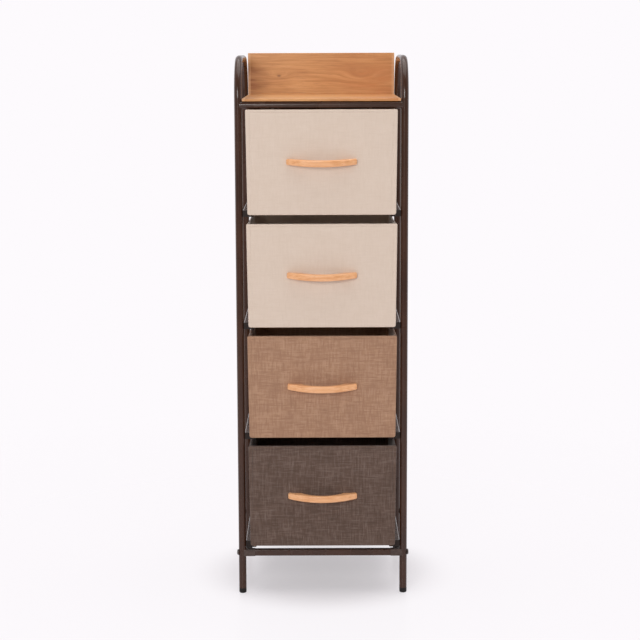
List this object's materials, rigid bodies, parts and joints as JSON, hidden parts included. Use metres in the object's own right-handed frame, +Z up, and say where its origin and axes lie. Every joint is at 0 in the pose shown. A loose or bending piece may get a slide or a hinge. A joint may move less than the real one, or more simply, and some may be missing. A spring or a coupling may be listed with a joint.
{
  "type": "fabric drawer dresser",
  "caption": "Narrow upright dresser with fabric drawers sliding on rails in a bent steel tube frame, a wooden shelf on top and a low wooden board behind it.",
  "frame": {"origin": "on the floor, under the middle of the whole object with its handles", "axes": "+Z up, -Y the side that the drawers open towards, +X to the right as seen from the front"},
  "size_m": [0.3264, 0.329, 1.0199],
  "materials": {
    "frame_tube": "dark brown gloss lacquer on steel tube",
    "plug_plastic": "black-brown moulded plastic",
    "fitting_plastic": "dark grey-brown moulded plastic",
    "foot_plastic": "black moulded plastic",
    "bolt_steel": "dark brown coated steel",
    "screw_steel": "zinc plated steel",
    "board_wood": "warm light brown wood with a semi-gloss lacquer",
    "fabric_cream": "cream woven fabric",
    "fabric_tan": "tan woven fabric",
    "fabric_charcoal": "charcoal brown woven fabric",
    "stiffener": "bare fibreboard",
    "handle_wood": "light satin wood"
  },
  "bodies": {
    "frame": {"side_loop_left": "frame_tube", "rail_left_1": "frame_tube", "rail_left_2": "frame_tube", "rail_left_3": "frame_tube", "rail_left_4": "frame_tube", "side_loop_right": "frame_tube", "rail_right_1": "frame_tube", "rail_right_2": "frame_tube", "rail_right_3": "frame_tube", "rail_right_4": "frame_tube", "rail_plugs_front": "plug_plastic", "top_bar_front": "frame_tube", "bottom_bar_front": "frame_tube", "bar_fitting_front_left": "fitting_plastic", "foot_cap_front_left": "foot_plastic", "bar_fitting_front_right": "fitting_plastic", "foot_cap_front_right": "foot_plastic", "rail_plugs_rear": "plug_plastic", "top_bar_rear": "frame_tube", "bottom_bar_rear": "frame_tube", "bar_fitting_rear_left": "fitting_plastic", "foot_cap_rear_left": "foot_plastic", "bar_fitting_rear_right": "fitting_plastic", "foot_cap_rear_right": "foot_plastic", "frame_bolts": "bolt_steel", "shelf_screws": "screw_steel", "back_board_screws": "screw_steel", "shelf_board": "board_wood", "back_board": "board_wood"},
    "drawer_1": {"drawer_1_bin": "fabric_cream", "drawer_1_front_board": "stiffener", "drawer_1_base_board": "stiffener", "drawer_1_handle": "handle_wood", "drawer_1_handle_screws": "screw_steel"},
    "drawer_2": {"drawer_2_bin": "fabric_cream", "drawer_2_front_board": "stiffener", "drawer_2_base_board": "stiffener", "drawer_2_handle": "handle_wood", "drawer_2_handle_screws": "screw_steel"},
    "drawer_3": {"drawer_3_bin": "fabric_tan", "drawer_3_front_board": "stiffener", "drawer_3_base_board": "stiffener", "drawer_3_handle": "handle_wood", "drawer_3_handle_screws": "screw_steel"},
    "drawer_4": {"drawer_4_bin": "fabric_charcoal", "drawer_4_front_board": "stiffener", "drawer_4_base_board": "stiffener", "drawer_4_handle": "handle_wood", "drawer_4_handle_screws": "screw_steel"}
  },
  "joints": [
    {"name": "drawer_1_slide", "type": "slide", "parent": "frame", "child": "drawer_1", "axis": [0, -1, 0], "range_m": [0, 0.22]},
    {"name": "drawer_2_slide", "type": "slide", "parent": "frame", "child": "drawer_2", "axis": [0, -1, 0], "range_m": [0, 0.22]},
    {"name": "drawer_3_slide", "type": "slide", "parent": "frame", "child": "drawer_3", "axis": [0, -1, 0], "range_m": [0, 0.22]},
    {"name": "drawer_4_slide", "type": "slide", "parent": "frame", "child": "drawer_4", "axis": [0, -1, 0], "range_m": [0, 0.22]}
  ]
}
